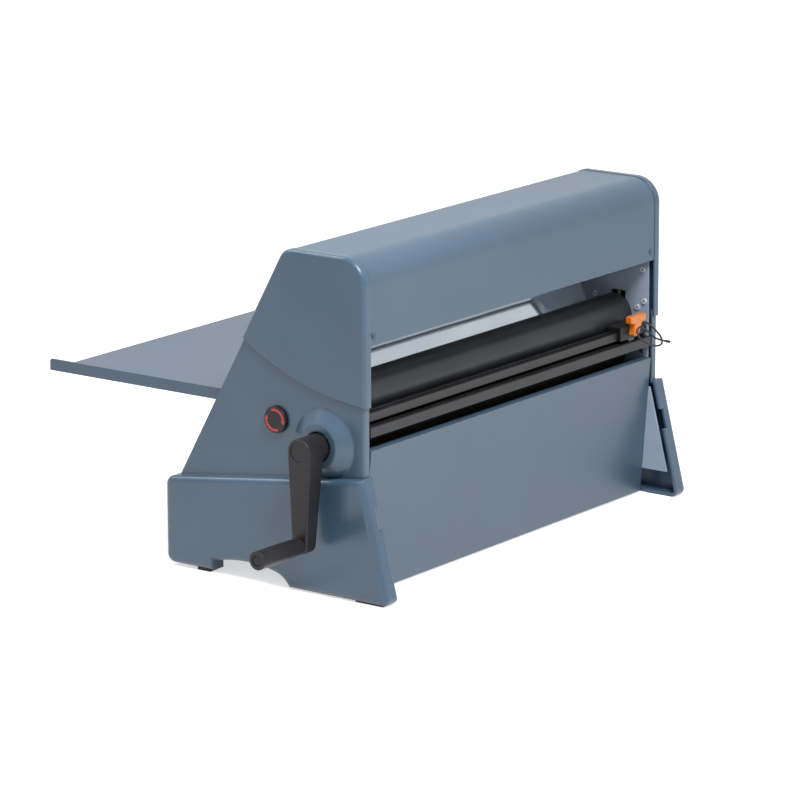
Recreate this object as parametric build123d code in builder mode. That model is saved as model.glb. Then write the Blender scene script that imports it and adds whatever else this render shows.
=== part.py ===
# Cold laminator for 635 mm film. A hand crank turns the lower nip roller, a gear pair
# turns the sprung upper one, two film rolls feed the nip, a hinged lid closes over the
# upper roll, and a sliding cutter trims the sheet as it comes out at the front.
# Millimetres. Every place is measured from three datums: the middle of the width,
# the tips of the front feet, and the table.
from build123d import *
import math
import os

os.makedirs("parts", exist_ok=True)

# Width of the machine, out from its middle
film_width = 635.0
core_overhang = 1.5
roller_margin = 14.5
roller_end_gap = 9.0
plate_t = 3.0
rim_gap = 0.3
rim_depth = 15.0
wall = 3.0
lap_gap = 0.3
base_bulge = 11.0
panel_gap = 0.3
roller_half = film_width / 2 + roller_margin
half_gap = roller_half + roller_end_gap
plate_face = half_gap + plate_t
rim_x = plate_face + rim_gap
lid_face = rim_x + rim_depth
low_face = lid_face - wall - lap_gap
base_face = lid_face + base_bulge

# Side outline of the end housings
front_face = 45.0
top_back = 182.0
shoulder_y = 372.0
shoulder_z = 129.0
front_top_r = 38.0
back_top_r = 24.0
rear_y = 384.0
rear_z = 127.0
rear_r = 13.0
foot_set = 43.0
ledge_front_z = 172.0
front_sole_z = 1.5
rear_sole_z = 4.0
arch_front_y = 170.0
arch_rear_y = 302.0
arch_z = 25.0
arch_end_z = 17.0
arch_crown_y = 248.0
arch_turn = (193.0, 19.0)
arch_haunch = (177.5, 10.5)
rim_round = 6.0
base_round = 8.0
base_rim_t = 4.5
foot_round = 8.0

# Seam between the lid and the housings: one large arc
seam_r = 444.0
seam_y = 8.5
seam_dip_z = 266.0
seam_z = seam_dip_z + seam_r
seam_lap = 8.0

# Nip rollers and their gears: the upper one leans forward over the lower one
low_axis_y = 116.0
low_axis_z = 208.5
nip_lean = 9.5
gear_module = 2.5
gear_teeth = 24
nip_gap = 0.3
core_r = 12.5
journal_r = 7.5
run_gap = 0.05
axis_step = gear_module * gear_teeth
roller_r = (axis_step - nip_gap) / 2
top_axis_y = low_axis_y - axis_step * math.sin(math.radians(nip_lean))
top_axis_z = low_axis_z + axis_step * math.cos(math.radians(nip_lean))
bush_r = 11.0
bush_flange_r = 14.0
bush_flange_t = 2.0
gear_gap = 3.5
gear_x = plate_face + gear_gap
gear_t = 5.0
gear_backlash = 0.12

# Bearing blocks and pressure springs of the upper roller
block_w = 24.0
block_h = 26.0
block_flange = 3.0
block_flange_t = 2.5
slide_gap = 0.2
spring_r = 4.0
spring_bore_r = 2.0
spring_h = 20.0

# Film rolls
film_r = 50.0
core_in_r = 19.0
core_out_r = 22.5
mandrel_r = 8.0
hub_w = 24.0
upper_roll_y = 130.0
upper_roll_z = 374.0
roll_room = 48.0
top_z = upper_roll_z + film_r + roll_room
lower_roll_y = 150.0
lower_roll_z = 118.0
web_t = 0.6
web_gap = 0.3
felt_t = 2.7
collar_t = 3.0

# Lid
cover_inset = 1.0
cover_t = 2.0
cover_low_z = 352.0
cover_hem = 6.0
hinge_y = 232.0
hinge_z = 350.0
hinge_r = 4.0
hinge_ear_r = 8.0
hinge_rim_end = 7.0
hinge_boss_r = 8.0
hinge_clear = 1.5
rim_clear = 4.0

# Crank and its grip
crank_gap = 1.0
hub_r = 19.0
hub_len = 42.0
arm_len = 129.0
arm_t = 31.0
arm_tip_t = 20.0
arm_tip_w = 25.0
grip_len = 92.0
grip_r = 13.0
grip_root_r = 11.5
boss_r = 50.0
boss_top_r = 30.0
boss_hole_r = 21.0

# Lid latch: the hook's finger closes over a stud on the lid
knob_y = 196.0
knob_z = 232.5
knob_r = 18.7
knob_t = 5.0
latch_reach = 88.0
latch_stud_r = 3.0
latch_gap = 0.8
latch_t = 3.0
latch_w = 12.0
latch_finger = 4.5
latch_span = 40.0
latch_lead = 10.0
spindle_r = 4.0

# Sheet metal, feed table and tray
sheet_t = 1.5
flange = 14.0
table_front_y = 131.0
table_back_y = 288.0
tray_end_y = 615.0
tray_lip_z = 257.0
table_top_z = 241.8
mouth_z = 275.0
panel_top_y = 48.0
panel_top_z = 206.0
panel_low_y = 64.0
panel_low_z = 3.0

# Screws and tie bars
screw_r = 2.0
screw_head_r = 4.0
screw_head_t = 2.2
screw_bite = 8.0
screw_boss_r = 5.0
tie_r = 8.0
tie_thread_r = 4.0
rear_screw_in = 16.6
rear_screws_z = (200.0, 305.0)

# Plates
plate_inset = 9.0
plate_low_z = 38.0

# Cutter
rail_y = 56.0
rail_w = 18.0
rail_h = 12.0
rail_z = 243.5
exit_top_z = 238.5
exit_h = 14.0
cutter_park = 44.0
cutter_x = half_gap - cutter_park
handle_w = 38.0
cutter_gap = 0.3
cord_d = 3.0

# Smaller clearances and details
run_clear = 0.3
upper_round = 2.5
notch_w = 8.0
notch_low_z = 101.0
notch_top_z = 130.0
gear_pressure = 20.0
gear_root = 1.25
latch_bush_r = 7.0
mandrel_out = 11.0
collar_gap = 3.0
collar_x = plate_face + collar_gap
pin_reach = 11.0
pin_end = plate_face + pin_reach
lug_out = plate_face + 5.0
lug_in = half_gap - 11.0
lug_x = half_gap - 5.0
lug_t = 4.5
lug_h = 20.0
cover_screw_z = 365.0
cover_screw_t = 1.8
pan_z = 32.0
pan_side_z = 50.0
pan_front_y = 78.0
pan_back_y = 360.0
rear_set = 5.0
rear_in_y = 377.0
rear_low_z = 12.0
guard_top_z = 338.0
lip_gap = 0.5
lip_t = 3.0
lip_round = 4.0
tongue_y = 268.0
tongue_gap = 0.4
tongue_top_z = 250.0
stud_y = 276.0
stud_r = 3.0
nut_t = 4.0
plate_nut_t = 2.6
groove_w = 5.0
groove_in_w = 9.0
groove_h = 5.5
blade_y = 53.9
exit_front_y = 48.5
blade_slot = 3.0
cap_screw_r = 2.5
shaft_reach = 30.7
shaft_end = base_face + shaft_reach
front_pad_y = (12.0, 58.0)
rear_pad_y = (310.0, 332.0)
hook_gap = 3.0
hook_x = plate_face + hook_gap
knob_round = 1.5
arm_round = 3.0
cap_r = 13.5
cap_depth = 4.0
cap_set = 1.0
cap_head_gap = 4.0
cap_head_x = shaft_end + cap_head_gap
grip_pin_r = 4.0
grip_pin_in = 14.0
grip_head_r = 6.5
grip_head_t = 2.0
grip_set = 1.0
grip_pocket = 3.5
grip_round = 1.5
carriage_left = 32.0
carriage_right = 12.0
carriage_back_y = 76.0
carriage_top_z = 264.0
carriage_round = 2.5
skirt_y = 50.0
bar_low_z = 267.5
bar_top_z = 278.5
stem_z = 249.0
stem_w = 18.0
stem_tip_w = 11.0
stem_lean = 6.0
handle_t = 10.0
handle_round = 2.5
blade_w = 14.0
blade_t = 0.8
blade_tip_z = 233.0
blade_top_z = 262.0
cord_share = 0.45

# Places of the rolls, screws and tie bars, back from the front and up
rolls_at = [(upper_roll_y, upper_roll_z), (lower_roll_y, lower_roll_z)]
housing_screws_at = [(115.0, 66.0), (345.0, 62.0), (235.0, 80.0), (64.0, 215.0), (300.0, 170.0)]
plate_screws_at = [(146.0, 290.0), (63.0, 336.0), (60.0, 289.0), (72.0, 279.0)]
cord_route = [
    (309.3, 57.0, 260.0),
    (320.5, 57.0, 260.0),
    (328.0, 45.0, 262.5),
    (330.0, 33.0, 257.0),
    (334.5, 30.0, 246.0),
    (332.0, 28.0, 234.0),
    (319.0, 30.0, 229.0),
    (304.0, 32.0, 233.0),
    (290.5, 34.0, 242.5),
    (293.5, 36.0, 256.0),
    (306.5, 37.5, 259.5),
    (319.0, 39.0, 251.5),
    (327.0, 39.0, 240.0),
    (334.0, 32.0, 232.0),
    (343.0, 21.0, 233.0),
]
tie_bars_at = [(90.0, 60.0), (352.0, 105.0), (205.0, 388.0)]
rail_screws_at = [(66.0, 229.5), (65.0, 246.8)]
panel_screws_at = [
    (61.0, 150.0),
    (69.0, 46.0),
    (150.0, 233.0),
    (270.0, 233.0),
    (368.0, 90.0),
    (368.0, 46.0),
    (140.0, 43.0),
    (310.0, 43.0),
]

# Plane helpers: the crank's end is at -X, so the middle lies at +mid_x and the whole
# footprint, crank and tray included, is centred on the origin.
grip_end = base_face + crank_gap + hub_len + grip_len
mid_x = (grip_end - base_face) / 2
foot_lean = math.atan(foot_set / ledge_front_z)
foot_tip_y = (foot_round + (front_sole_z + foot_round) * math.sin(foot_lean)) / math.cos(foot_lean)
foot_tip_y -= foot_round
front_y = -(foot_tip_y + tray_end_y) / 2


def side(x, y=0.0, z=0.0):
    """A plane square to the width: local x runs to the back and local y up."""
    return Plane(origin=(mid_x + x, front_y + y, z), x_dir=(0, 1, 0), z_dir=(1, 0, 0))


def flat(x, y, z):
    """A level plane: local x runs along the width and local y to the back."""
    return Plane(origin=(mid_x + x, front_y + y, z))


def face_on(x, y, z):
    """A plane that faces the front: local x runs along the width and local y up."""
    return Plane(origin=(mid_x + x, front_y + y, z), x_dir=(1, 0, 0), z_dir=(0, -1, 0))

middle = Plane.YZ.offset(mid_x)
seated = (Align.CENTER, Align.CENTER, Align.MIN)
corner = (Align.MIN, Align.MIN)
slant = (shoulder_y - top_back) / (top_z - shoulder_z)
hub_end = base_face + crank_gap + hub_len
boss_h = base_face - low_face
swing_r = hinge_y - front_face - cover_inset - cover_hem - hinge_clear
slot_top_z = top_axis_z + block_h / 2 + spring_h
table_low_z = table_top_z - sheet_t
core_end = half_gap - bush_flange_t - run_clear
roll_half = film_width / 2


def slant_y(z):
    """How far back the sloping rear edge lies at a height."""
    return top_back + (top_z - z) * slant


rim_sweep_r = math.hypot(slant_y(hinge_z + hinge_rim_end) - hinge_y, hinge_rim_end) + rim_clear
for z in rear_screws_z:
    panel_screws_at.append((slant_y(z) - rear_screw_in, z))


def rod(y, z, radius, start, end, mode=Mode.ADD):
    """A round length across the width, added where it is called."""
    with Locations(side(start, y, z)):
        Cylinder(radius, end - start, align=seated, mode=mode)


def hexagon(y, z, radius, start, end):
    """A hexagonal head or nut that lies across the width."""
    with BuildSketch(side(start)) as outline:
        with Locations((y, z)):
            RegularPolygon(radius, 6)
    extrude(outline.sketch, amount=end - start)


def block(x_range, y_range, z_range, mode=Mode.ADD):
    """A straight-sided length, given its two ends along each way."""
    x0, x1 = x_range
    y0, y1 = y_range
    z0, z1 = z_range
    with Locations(flat((x0 + x1) / 2, (y0 + y1) / 2, z0)):
        Box(x1 - x0, y1 - y0, z1 - z0, align=seated, mode=mode)


def upper_outline(inset=0.0):
    """Side face of the machine above the ledge, drawn on down to below it."""
    low = shoulder_z - wall * 4
    with BuildSketch(mode=Mode.PRIVATE) as outline:
        with BuildLine():
            Polyline(
                (front_face, low),
                (front_face, top_z),
                (top_back, top_z),
                (slant_y(low), low),
                close=True,
            )
        make_face()
        top = outline.vertices().group_by(Axis.Y)[-1].sort_by(Axis.X)
        fillet(top[0], radius=front_top_r)
        fillet(outline.vertices().group_by(Axis.Y)[-1].sort_by(Axis.X)[-1], radius=back_top_r)
        if inset > 0:
            offset(amount=-inset, mode=Mode.REPLACE)
    return outline.sketch


def base_outline(inset=0.0):
    """Side face of the base with its foot, sloping ledge and arch."""
    with BuildSketch(mode=Mode.PRIVATE) as outline:
        with BuildLine():
            Polyline(
                (arch_front_y, front_sole_z),
                (front_sole_z / ledge_front_z * foot_set, front_sole_z),
                (foot_set, ledge_front_z),
                (rear_y, rear_z),
                (rear_y, rear_sole_z),
                (arch_rear_y, rear_sole_z),
                (arch_rear_y, arch_end_z),
            )
            ThreePointArc((arch_rear_y, arch_end_z), (arch_crown_y, arch_z), arch_turn)
            ThreePointArc(arch_turn, arch_haunch, (arch_front_y, front_sole_z))
        make_face()
        fillet(outline.vertices().group_by(Axis.X)[-1], radius=rear_r)
        fillet(outline.vertices().group_by(Axis.X)[0], radius=foot_round)
        if inset > 0:
            offset(amount=-inset, mode=Mode.REPLACE)
    return outline.sketch


def seam_disc(radius):
    """The disc whose edge is the seam arc, or a lap above it."""
    with BuildSketch(mode=Mode.PRIVATE) as disc:
        with Locations((seam_y, seam_z)):
            Circle(radius)
    return disc.sketch


def end_housing(crank_end):
    """Lower end moulding, drawn at the crank's end: base, upper wall and rims, open inside."""
    with BuildPart() as upper:
        with BuildSketch(side(-low_face)):
            add(upper_outline(wall + lap_gap))
            add(seam_disc(seam_r - seam_lap), mode=Mode.SUBTRACT)
        extrude(amount=low_face - rim_x)
        straight = upper.faces().sort_by(Axis.X)[0].edges().filter_by(GeomType.LINE)
        fillet(straight.filter_by(lambda edge: abs((edge % 0.5).Z) > 0.5), radius=upper_round)
    with BuildPart() as shell:
        with BuildSketch(side(-base_face)):
            add(base_outline())
        extrude(amount=base_face - rim_x)
        outer = shell.faces().sort_by(Axis.X)[0].edges()
        fillet(outer.filter_by(lambda edge: (edge @ 0.5).Z > arch_z), radius=base_round)
        add(upper.part)
        if crank_end:
            with Locations(side(-low_face, low_axis_y, low_axis_z)):
                Cone(boss_r, boss_top_r, boss_h, align=seated, rotation=(180, 0, 0))
        with BuildSketch(side(-base_face + wall)):
            add(base_outline(base_rim_t))
        extrude(amount=base_face, mode=Mode.SUBTRACT)
        with BuildSketch(side(-low_face + wall)):
            add(upper_outline(wall * 2 + lap_gap))
        extrude(amount=low_face, mode=Mode.SUBTRACT)
        rod(hinge_y, hinge_z, rim_sweep_r, -base_face, -rim_x + wall, mode=Mode.SUBTRACT)
        block(
            (-rim_x - notch_w, -rim_x + wall),
            (0, front_face),
            (notch_low_z, notch_top_z),
            mode=Mode.SUBTRACT,
        )
        if crank_end:
            with Locations(side(-low_face + wall, low_axis_y, low_axis_z)):
                Cone(
                    boss_r - wall,
                    boss_top_r - wall,
                    boss_h,
                    align=seated,
                    rotation=(180, 0, 0),
                    mode=Mode.SUBTRACT,
                )
            rod(low_axis_y, low_axis_z, boss_hole_r, -base_face - wall, -rim_x, mode=Mode.SUBTRACT)
            rod(knob_y, knob_z, spindle_r + lap_gap, -base_face, -rim_x, mode=Mode.SUBTRACT)
        for y, z in housing_screws_at:
            face_x = base_face if z < shoulder_z else low_face
            rod(y, z, screw_boss_r, -face_x + wall / 2, -rim_x)
            rod(y, z, screw_r, -rim_x - screw_bite, -rim_x, mode=Mode.SUBTRACT)
    return shell.part


def on_seam(point):
    """Whether a point lies on the seam arc."""
    reach = math.hypot(point.Y - front_y - seam_y, point.Z - seam_z)
    return abs(reach - seam_r) < run_clear


def lid_cheek():
    """End cheek of the lid above the seam, drawn at the crank's end, open inside."""
    with BuildPart() as cheek:
        with BuildSketch(side(-lid_face)):
            add(upper_outline())
            add(seam_disc(seam_r), mode=Mode.INTERSECT)
        extrude(amount=lid_face - rim_x)
        outer = cheek.faces().sort_by(Axis.X)[0].edges()
        fillet(outer.filter_by(lambda edge: not on_seam(edge @ 0.5)), radius=rim_round)
        with BuildSketch(side(-lid_face + wall)):
            add(upper_outline(wall))
        extrude(amount=lid_face, mode=Mode.SUBTRACT)
        block(
            (-lid_face + wall, -rim_x + wall),
            (hinge_y + hinge_r, hinge_y + rim_sweep_r * 2),
            (shoulder_z, hinge_z + hinge_rim_end),
            mode=Mode.SUBTRACT,
        )
        rod(hinge_y, hinge_z, hinge_boss_r, -lid_face + wall, -plate_face - bush_flange_t)
        rod(hinge_y, hinge_z, hinge_r + run_gap, -pin_end - cutter_gap, -rim_x, mode=Mode.SUBTRACT)
        block(
            (-lug_out, -lug_in),
            (front_face + wall, front_face + wall + lug_t),
            (cover_low_z + wall, cover_low_z + wall + lug_h),
        )
        with Locations(face_on(-lug_x, front_face + wall, cover_screw_z)):
            Cylinder(screw_r, lug_t * 3, mode=Mode.SUBTRACT)
    return cheek.part


def plate_outline():
    """Side plate: inside the housing, cut back to the lid's sweep, with an ear for its hinge."""
    with BuildSketch(mode=Mode.PRIVATE) as above:
        with Locations((0, hinge_z)):
            Rectangle(hinge_y, top_z - hinge_z, align=corner)
        with Locations((hinge_y, hinge_z)):
            Circle(swing_r, mode=Mode.SUBTRACT)
    with BuildSketch(mode=Mode.PRIVATE) as outline:
        add(upper_outline(plate_inset))
        add(above.sketch, mode=Mode.SUBTRACT)
        add(base_outline(plate_inset))
        Rectangle(rear_y, plate_low_z, align=corner, mode=Mode.SUBTRACT)
        with Locations((hinge_y, hinge_z)):
            Circle(rim_sweep_r, mode=Mode.SUBTRACT)
            Circle(hinge_ear_r)
            Rectangle(rim_sweep_r * 1.5, hinge_ear_r * 2, align=(Align.MAX, Align.CENTER))
    return outline.sketch


def side_plate(crank_end):
    """Steel side plate with its bores, drawn at the crank's end."""
    with BuildPart() as plate:
        with BuildSketch(side(-plate_face)):
            add(plate_outline())
            with Locations((top_axis_y, slot_top_z)):
                Rectangle(
                    block_w + slide_gap * 2,
                    spring_h + block_h + slide_gap,
                    align=(Align.CENTER, Align.MAX),
                    mode=Mode.SUBTRACT,
                )
            with Locations((low_axis_y, low_axis_z), *rolls_at):
                Circle(bush_r, mode=Mode.SUBTRACT)
            with Locations(*tie_bars_at):
                Circle(tie_thread_r, mode=Mode.SUBTRACT)
            with Locations((hinge_y, hinge_z)):
                Circle(hinge_r, mode=Mode.SUBTRACT)
            screws = plate_screws_at + housing_screws_at + panel_screws_at + rail_screws_at
            with Locations(*screws):
                Circle(screw_r, mode=Mode.SUBTRACT)
            if crank_end:
                with Locations((knob_y, knob_z)):
                    Circle(latch_bush_r, mode=Mode.SUBTRACT)
        extrude(amount=plate_t)
    return plate.part


def bent(points, side_in, depth, half, far=None):
    """Sheet bent along a path across the width, as thick as the depth, inwards of the path."""
    with BuildSketch(side(-half)) as strip:
        with BuildLine():
            Polyline(*points)
            offset(amount=depth, side=side_in, kind=Kind.INTERSECTION)
        make_face()
    extrude(strip.sketch, amount=half * 2 if far is None else half - far)


def screw_holes():
    """Holes in a panel's two turned-up ends, wherever a panel screw passes one."""
    for y, z in panel_screws_at:
        for x in (-sheet_half, sheet_half - sheet_t):
            rod(y, z, screw_r, x, x + sheet_t, mode=Mode.SUBTRACT)


def bush(y, z, bore_r, end):
    """Flanged bronze bush in the left plate, from inside the machine outwards."""
    rod(y, z, bush_flange_r, -half_gap, -half_gap + bush_flange_t)
    rod(y, z, bush_r, -end, -half_gap)
    rod(y, z, bore_r, -end, -half_gap + bush_flange_t, mode=Mode.SUBTRACT)


def gear(y, z, bore_r, turn):
    """Spur gear outside the right plate, with its first tooth turned to the given angle."""
    pitch_r = gear_module * gear_teeth / 2
    slope = math.radians(gear_pressure)
    base_r = pitch_r * math.cos(slope)
    tip_r = pitch_r + gear_module
    root_r = pitch_r - gear_module * gear_root
    half_tooth = (math.pi / 2 * gear_module - gear_backlash) / 2 / pitch_r

    def flank(radius, way):
        roll = math.acos(base_r / radius)
        turned = half_tooth + math.tan(slope) - slope - math.tan(roll) + roll
        return (radius * math.cos(turned), way * radius * math.sin(turned))

    with BuildSketch(mode=Mode.PRIVATE) as tooth:
        with BuildLine():
            ThreePointArc(flank(base_r, 1), flank(pitch_r, 1), flank(tip_r, 1))
            Line(flank(tip_r, 1), flank(tip_r, -1))
            ThreePointArc(flank(tip_r, -1), flank(pitch_r, -1), flank(base_r, -1))
            Polyline(
                flank(base_r, -1),
                (root_r - gear_module, flank(base_r, -1)[1]),
                (root_r - gear_module, flank(base_r, 1)[1]),
                flank(base_r, 1),
            )
        make_face()
    with BuildPart() as wheel:
        with BuildSketch(side(gear_x)):
            with Locations((y, z)):
                Circle(root_r)
                with PolarLocations(0, gear_teeth, start_angle=turn):
                    add(tooth.sketch)
                Circle(bore_r, mode=Mode.SUBTRACT)
        extrude(amount=gear_t)
    return wheel.part


def web(roll_y, roll_z, roller_y, roller_z):
    """Film from the back of a roll, in a straight run, to the back of its roller."""
    gap = Vector(roll_y - roller_y, roll_z - roller_z)
    along = gap.normalized()
    out = Vector(abs(along.Y), -along.X * math.copysign(1, along.Y))
    share = (roller_r - film_r) / gap.length
    normal = along * share + out * math.sqrt(1 - share**2)
    near_roll = Vector(roll_y, roll_z) + normal * (film_r + web_gap)
    near_roller = Vector(roller_y, roller_z) + normal * (roller_r + web_gap)
    with BuildSketch(side(-roll_half)) as strip:
        with BuildLine():
            Polyline(
                near_roll,
                near_roller,
                near_roller + normal * web_t,
                near_roll + normal * web_t,
                close=True,
            )
        make_face()
    extrude(strip.sketch, amount=film_width)


def mandrel(y, z):
    """Shaft of a film roll: two hubs that fill the core, two shoulders, a brake collar."""
    rod(y, z, mandrel_r, -half_gap - mandrel_out, half_gap + mandrel_out)
    hub_x = roll_half + core_overhang
    rod(y, z, core_in_r, -hub_x, -hub_x + hub_w)
    rod(y, z, core_in_r, hub_x - hub_w, hub_x)
    rod(y, z, bush_r - run_clear, -core_end, -core_end + collar_t)
    rod(y, z, bush_r - run_clear, core_end - collar_t, core_end)
    rod(y, z, bush_r, -collar_x - collar_t, -collar_x)


def ring(y, z, outer_r, inner_r, half):
    """A tube across the width, about the middle."""
    rod(y, z, outer_r, -half, half)
    rod(y, z, inner_r, -half, half, mode=Mode.SUBTRACT)


def screw(y, z, head_x, end_x):
    """Pan-head screw across the width: its head's inner face and the end of its shank."""
    way = math.copysign(1, head_x - end_x)
    low, high = sorted((head_x, end_x))
    rod(y, z, screw_r, low, high)
    low, high = sorted((head_x, head_x + way * screw_head_t))
    rod(y, z, screw_head_r, low, high)


# End housings: the crank's end has a boss for the shaft and a hole for the latch
with BuildPart() as left_housing:
    add(end_housing(True))
left_housing.part.label = "left_housing"
export_step(left_housing.part, "parts/left_housing.step")

with BuildPart() as right_housing:
    add(end_housing(False))
    mirror(about=middle, mode=Mode.REPLACE)
right_housing.part.label = "right_housing"
export_step(right_housing.part, "parts/right_housing.step")

# Steel side plates, which carry everything
with BuildPart() as left_side_plate:
    add(side_plate(True))
left_side_plate.part.label = "left_side_plate"
export_step(left_side_plate.part, "parts/left_side_plate.step")

with BuildPart() as right_side_plate:
    add(side_plate(False))
    mirror(about=middle, mode=Mode.REPLACE)
right_side_plate.part.label = "right_side_plate"
export_step(right_side_plate.part, "parts/right_side_plate.step")

# Bent sheet panels between the plates, with flanges that lie on them
sheet_half = half_gap - panel_gap
with BuildPart() as front_panel:
    front_run = [(panel_top_y, panel_top_z), (panel_low_y, panel_low_z)]
    front_path = [(panel_top_y + flange, panel_top_z), *front_run, (panel_low_y + flange, panel_low_z)]
    bent(front_path, Side.LEFT, sheet_t, sheet_half)
    bent(front_run, Side.LEFT, flange, sheet_half, far=sheet_half - sheet_t)
    bent(front_run, Side.LEFT, flange, -sheet_half + sheet_t, far=-sheet_half)
    screw_holes()
front_panel.part.label = "front_panel"
export_step(front_panel.part, "parts/front_panel.step")

with BuildPart() as rear_panel:
    back_top = (slant_y(table_low_z) - rear_set, table_low_z)
    back_mid = (slant_y(shoulder_z) - rear_set, shoulder_z)
    back_run = [back_top, back_mid, (rear_in_y, shoulder_z - wall * 4), (rear_in_y, rear_low_z)]
    rear_path = [(table_back_y + run_clear, table_low_z), *back_run, (rear_in_y - flange, rear_low_z)]
    bent(rear_path, Side.RIGHT, sheet_t, sheet_half)
    bent(back_run, Side.RIGHT, flange, sheet_half, far=sheet_half - sheet_t)
    bent(back_run, Side.RIGHT, flange, -sheet_half + sheet_t, far=-sheet_half)
    screw_holes()
rear_panel.part.label = "rear_panel"
export_step(rear_panel.part, "parts/rear_panel.step")

# Guard between the feed mouth and the hinge, on the same slope as the rear panel
with BuildPart() as mouth_guard:
    guard_top = (slant_y(guard_top_z) - rear_set, guard_top_z)
    guard_low = (slant_y(mouth_z) - rear_set, mouth_z)
    bent([guard_top, guard_low, (guard_low[0] - flange, mouth_z)], Side.RIGHT, sheet_t, sheet_half)
    bent([guard_top, guard_low], Side.RIGHT, flange, sheet_half, far=sheet_half - sheet_t)
    bent([guard_top, guard_low], Side.RIGHT, flange, -sheet_half + sheet_t, far=-sheet_half)
    screw_holes()
mouth_guard.part.label = "mouth_guard"
export_step(mouth_guard.part, "parts/mouth_guard.step")

# Base pan: a tray-like floor, its ends turned up on the plates
with BuildPart() as base_pan:
    block((-sheet_half, sheet_half), (pan_front_y, pan_back_y), (pan_z, pan_z + sheet_t))
    block((-sheet_half, -sheet_half + sheet_t), (pan_front_y, pan_back_y), (pan_z, pan_side_z))
    block((sheet_half - sheet_t, sheet_half), (pan_front_y, pan_back_y), (pan_z, pan_side_z))
    screw_holes()
base_pan.part.label = "base_pan"
export_step(base_pan.part, "parts/base_pan.step")

# Feed table inside the machine, its ends turned down on the plates
with BuildPart() as feed_table:
    block((-sheet_half, sheet_half), (table_front_y, table_back_y), (table_low_z, table_top_z))
    ends_y = (table_front_y + flange, table_back_y)
    block((-sheet_half, -sheet_half + sheet_t), ends_y, (table_low_z - flange, table_low_z))
    block((sheet_half - sheet_t, sheet_half), ends_y, (table_low_z - flange, table_low_z))
    screw_holes()
feed_table.part.label = "feed_table"
export_step(feed_table.part, "parts/feed_table.step")

# Feed tray: hooks on behind with a tongue under a stud at each side
with BuildPart() as feed_tray:
    tray_y = (table_back_y + run_clear, tray_end_y)
    tray_half = half_gap - lip_gap
    block((-tray_half, tray_half), tray_y, (table_low_z, table_top_z))
    for x in (-tray_half, tray_half - lip_t):
        block((x, x + lip_t), tray_y, (table_low_z, tray_lip_z))
        block((x, x + lip_t), (tongue_y, tray_y[0]), (table_top_z + tongue_gap, tongue_top_z))
    rounded = feed_tray.edges().filter_by(Axis.X).group_by(Axis.Z)[-1]
    fillet(rounded, radius=lip_round)
feed_tray.part.label = "feed_tray"
export_step(feed_tray.part, "parts/feed_tray.step")

with BuildPart() as tray_studs:
    rod(stud_y, tongue_top_z + tongue_gap / 2 + stud_r, stud_r, -half_gap, -half_gap + lip_t * 2)
    mirror(about=middle)
tray_studs.part.label = "tray_studs"
export_step(tray_studs.part, "parts/tray_studs.step")

# Tie bars, with a threaded end through each plate and a nut on it
with BuildPart() as tie_bars:
    for y, z in tie_bars_at:
        rod(y, z, tie_r, -half_gap, half_gap)
        rod(y, z, tie_thread_r, -plate_face - nut_t - 1, plate_face + nut_t + 1)
tie_bars.part.label = "tie_bars"
export_step(tie_bars.part, "parts/tie_bars.step")

with BuildPart() as tie_nuts:
    for y, z in tie_bars_at:
        hexagon(y, z, tie_thread_r * 2 - 1, -plate_face - nut_t, -plate_face)
        rod(y, z, tie_thread_r, -plate_face - nut_t, -plate_face, mode=Mode.SUBTRACT)
    mirror(about=middle)
tie_nuts.part.label = "tie_nuts"
export_step(tie_nuts.part, "parts/tie_nuts.step")

# Cutter rail with a T-shaped groove along its top
with BuildPart() as cutter_rail:
    with BuildSketch(side(-sheet_half)):
        with Locations((rail_y + rail_w / 2, rail_z)):
            Rectangle(rail_w, rail_h, align=(Align.CENTER, Align.MIN))
        with Locations((rail_y + rail_w / 2, rail_z + rail_h)):
            Rectangle(groove_w, groove_h, align=(Align.CENTER, Align.MAX), mode=Mode.SUBTRACT)
        with Locations((rail_y + rail_w / 2, rail_z + rail_h - groove_h / 2)):
            Rectangle(groove_in_w, groove_h / 2, align=(Align.CENTER, Align.MAX), mode=Mode.SUBTRACT)
    extrude(amount=sheet_half * 2)
    chamfer(cutter_rail.edges().filter_by(Axis.X).group_by(Axis.Z)[0], length=1)
    for y, z in rail_screws_at[1:]:
        rod(y, z, screw_r, -sheet_half, -sheet_half + screw_bite, mode=Mode.SUBTRACT)
        rod(y, z, screw_r, sheet_half - screw_bite, sheet_half, mode=Mode.SUBTRACT)
cutter_rail.part.label = "cutter_rail"
export_step(cutter_rail.part, "parts/cutter_rail.step")

# Exit bar under the rail: the sheet comes out between them, and the blade runs in its groove
with BuildPart() as exit_bar:
    exit_y = (exit_front_y, rail_y + rail_w)
    block((-sheet_half, sheet_half), exit_y, (exit_top_z - exit_h, exit_top_z))
    groove_y = (blade_y - blade_slot / 2, blade_y + blade_slot / 2)
    block(
        (-sheet_half, sheet_half),
        groove_y,
        (exit_top_z - exit_h / 2, exit_top_z),
        mode=Mode.SUBTRACT,
    )
    fillet(exit_bar.edges().filter_by(Axis.X).group_by(Axis.Y)[0].sort_by(Axis.Z)[-1], radius=1.5)
    for y, z in rail_screws_at[:1]:
        rod(y, z, screw_r, -sheet_half, -sheet_half + screw_bite, mode=Mode.SUBTRACT)
        rod(y, z, screw_r, sheet_half - screw_bite, sheet_half, mode=Mode.SUBTRACT)
exit_bar.part.label = "exit_bar"
export_step(exit_bar.part, "parts/exit_bar.step")

# Bushes
with BuildPart() as lower_roller_bushes:
    bush(low_axis_y, low_axis_z, journal_r + run_gap, plate_face + bush_flange_t)
    mirror(about=middle)
lower_roller_bushes.part.label = "lower_roller_bushes"
export_step(lower_roller_bushes.part, "parts/lower_roller_bushes.step")

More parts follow.
